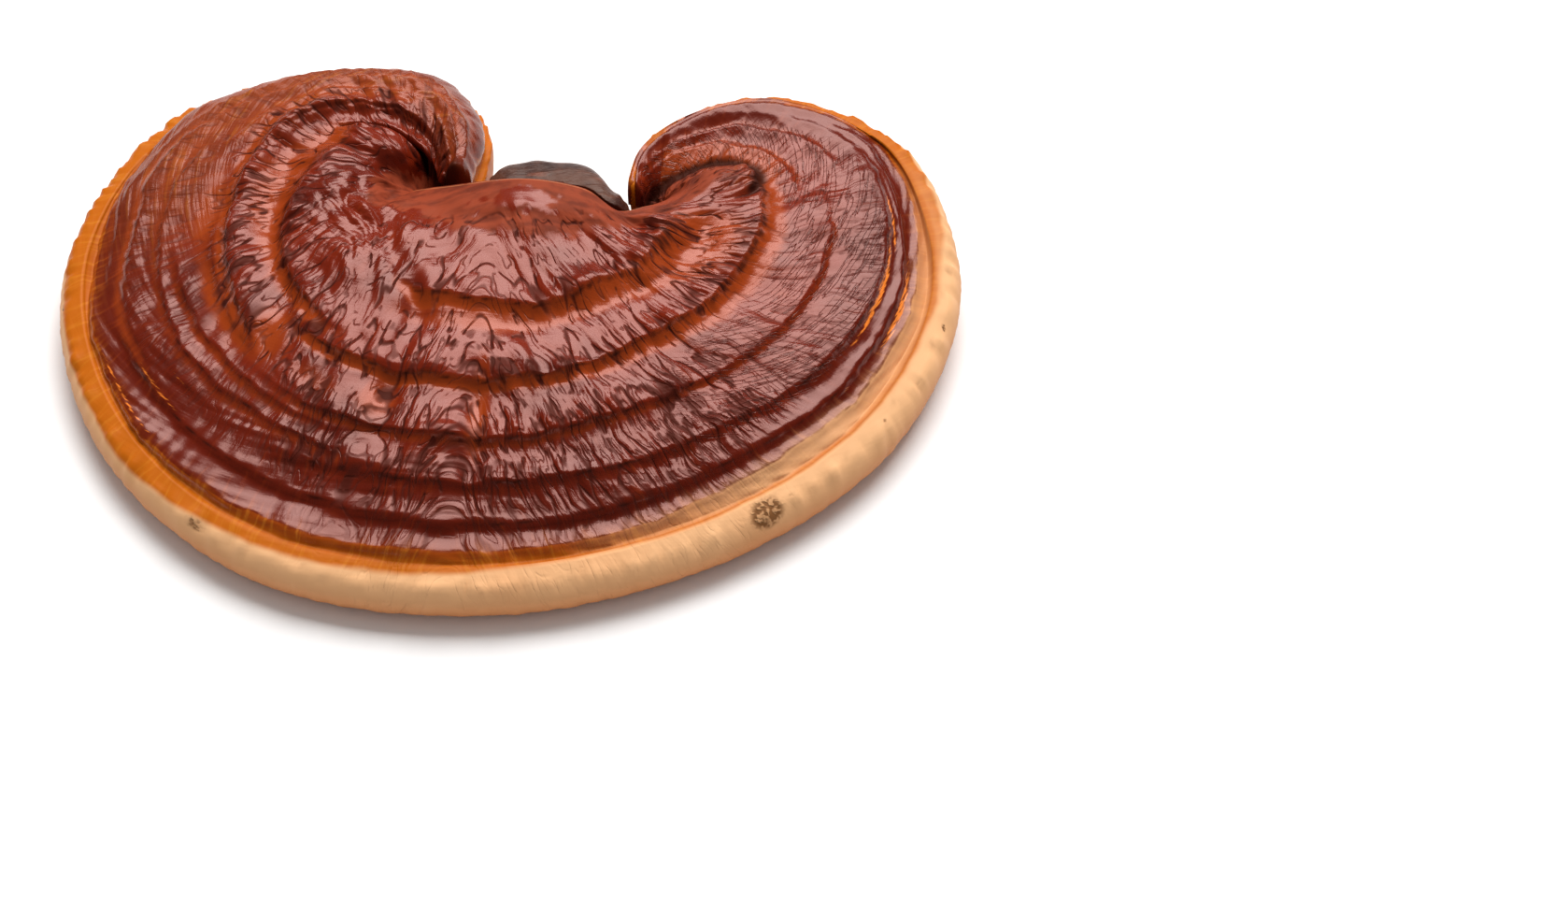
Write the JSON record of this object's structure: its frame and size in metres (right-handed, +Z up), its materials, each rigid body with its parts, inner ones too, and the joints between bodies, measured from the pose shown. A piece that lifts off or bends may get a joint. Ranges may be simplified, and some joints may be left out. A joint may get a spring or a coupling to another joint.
{
  "type": "reishi mushroom",
  "caption": "Kidney-shaped reishi bracket mushroom with lacquered, ringed cap, cream rim and a short side stem cut flat.",
  "frame": {"origin": "middle of the mushroom's footprint, on the plane that its pore surface and cut stem rest on", "axes": "+X across the cap towards its upturned right lobe, +Y towards the notch and the stem, +Z up"},
  "size_m": [0.1807, 0.1416, 0.0281],
  "materials": {
    "cap_crust": "red-brown lacquered crust with ochre and cream rim, matt cream pore surface below",
    "stem_crust": "glossy dark brown crust, matt corky flesh at the cut"
  },
  "bodies": {
    "root": {"cap": "cap_crust", "stem": "stem_crust"}
  },
  "joints": []
}
